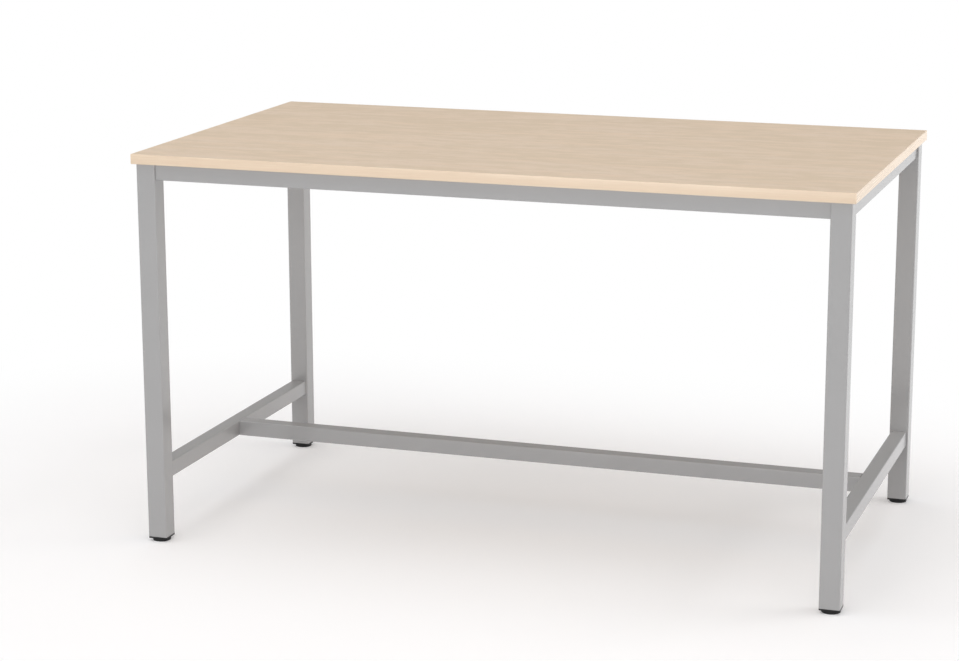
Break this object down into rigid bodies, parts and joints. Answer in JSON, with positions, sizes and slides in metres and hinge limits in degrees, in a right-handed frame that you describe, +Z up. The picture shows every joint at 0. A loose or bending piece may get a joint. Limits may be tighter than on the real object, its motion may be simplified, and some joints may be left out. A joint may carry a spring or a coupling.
{
  "type": "standing meeting table",
  "caption": "Standing-height rectangular meeting table: laminated board on a square steel tube frame with an H-shaped foot stretcher and levelling glides under the legs.",
  "frame": {"origin": "on the floor, under the middle of the board", "axes": "+X along the table's length, +Y from the front to the back, +Z up"},
  "size_m": [1.8, 1, 1],
  "materials": {
    "maple_laminate": "satin",
    "maple_edging": "satin",
    "chipboard": "raw",
    "silver_powder_coat": "satin",
    "zinc_plated_steel": "bright zinc plated",
    "black_nylon": "satin"
  },
  "bodies": {
    "frame": {"back_rail": "silver_powder_coat", "back_rail_end_plates": "silver_powder_coat", "backing_laminate": "maple_laminate", "board_core": "chipboard", "board_screws": "zinc_plated_steel", "centre_stretcher": "silver_powder_coat", "centre_stretcher_end_plates": "silver_powder_coat", "cleats": "silver_powder_coat", "edge_band_back": "maple_edging", "edge_band_front": "maple_edging", "edge_band_left": "maple_edging", "edge_band_right": "maple_edging", "front_rail": "silver_powder_coat", "front_rail_end_plates": "silver_powder_coat", "joint_bolts": "zinc_plated_steel", "joint_rivet_nuts": "zinc_plated_steel", "left_end_frame_welds": "silver_powder_coat", "left_end_rail": "silver_powder_coat", "left_end_stretcher": "silver_powder_coat", "leg_back_left": "silver_powder_coat", "leg_back_right": "silver_powder_coat", "leg_front_left": "silver_powder_coat", "leg_front_right": "silver_powder_coat", "leg_inserts": "black_nylon", "right_end_frame_welds": "silver_powder_coat", "right_end_rail": "silver_powder_coat", "right_end_stretcher": "silver_powder_coat", "top_laminate": "maple_laminate"},
    "front_left_pad": {"glide_pad_front_left": "black_nylon"},
    "front_left_stem": {"glide_stem_front_left": "zinc_plated_steel"},
    "back_left_pad": {"glide_pad_back_left": "black_nylon"},
    "back_left_stem": {"glide_stem_back_left": "zinc_plated_steel"},
    "front_right_pad": {"glide_pad_front_right": "black_nylon"},
    "front_right_stem": {"glide_stem_front_right": "zinc_plated_steel"},
    "back_right_pad": {"glide_pad_back_right": "black_nylon"},
    "back_right_stem": {"glide_stem_back_right": "zinc_plated_steel"}
  },
  "joints": [
    {"name": "front_left_glide_height", "type": "slide", "parent": "frame", "child": "front_left_pad", "axis": [0, 0, -1], "range_m": [0, 0.015]},
    {"name": "front_left_stem_turn", "type": "hinge", "parent": "front_left_pad", "child": "front_left_stem", "pos_m": [-0.865, -0.465, 0.02], "axis": [0, 0, -1], "range_deg": [0, 4320]},
    {"name": "back_left_glide_height", "type": "slide", "parent": "frame", "child": "back_left_pad", "axis": [0, 0, -1], "range_m": [0, 0.015]},
    {"name": "back_left_stem_turn", "type": "hinge", "parent": "back_left_pad", "child": "back_left_stem", "pos_m": [-0.865, 0.465, 0.02], "axis": [0, 0, -1], "range_deg": [0, 4320]},
    {"name": "front_right_glide_height", "type": "slide", "parent": "frame", "child": "front_right_pad", "axis": [0, 0, -1], "range_m": [0, 0.015]},
    {"name": "front_right_stem_turn", "type": "hinge", "parent": "front_right_pad", "child": "front_right_stem", "pos_m": [0.865, -0.465, 0.02], "axis": [0, 0, -1], "range_deg": [0, 4320]},
    {"name": "back_right_glide_height", "type": "slide", "parent": "frame", "child": "back_right_pad", "axis": [0, 0, -1], "range_m": [0, 0.015]},
    {"name": "back_right_stem_turn", "type": "hinge", "parent": "back_right_pad", "child": "back_right_stem", "pos_m": [0.865, 0.465, 0.02], "axis": [0, 0, -1], "range_deg": [0, 4320]}
  ],
  "couplings": [
    {"joint": "front_left_glide_height", "follows": "front_left_stem_turn", "m_per_rad": 0.00019894},
    {"joint": "back_left_glide_height", "follows": "back_left_stem_turn", "m_per_rad": 0.00019894},
    {"joint": "front_right_glide_height", "follows": "front_right_stem_turn", "m_per_rad": 0.00019894},
    {"joint": "back_right_glide_height", "follows": "back_right_stem_turn", "m_per_rad": 0.00019894}
  ]
}
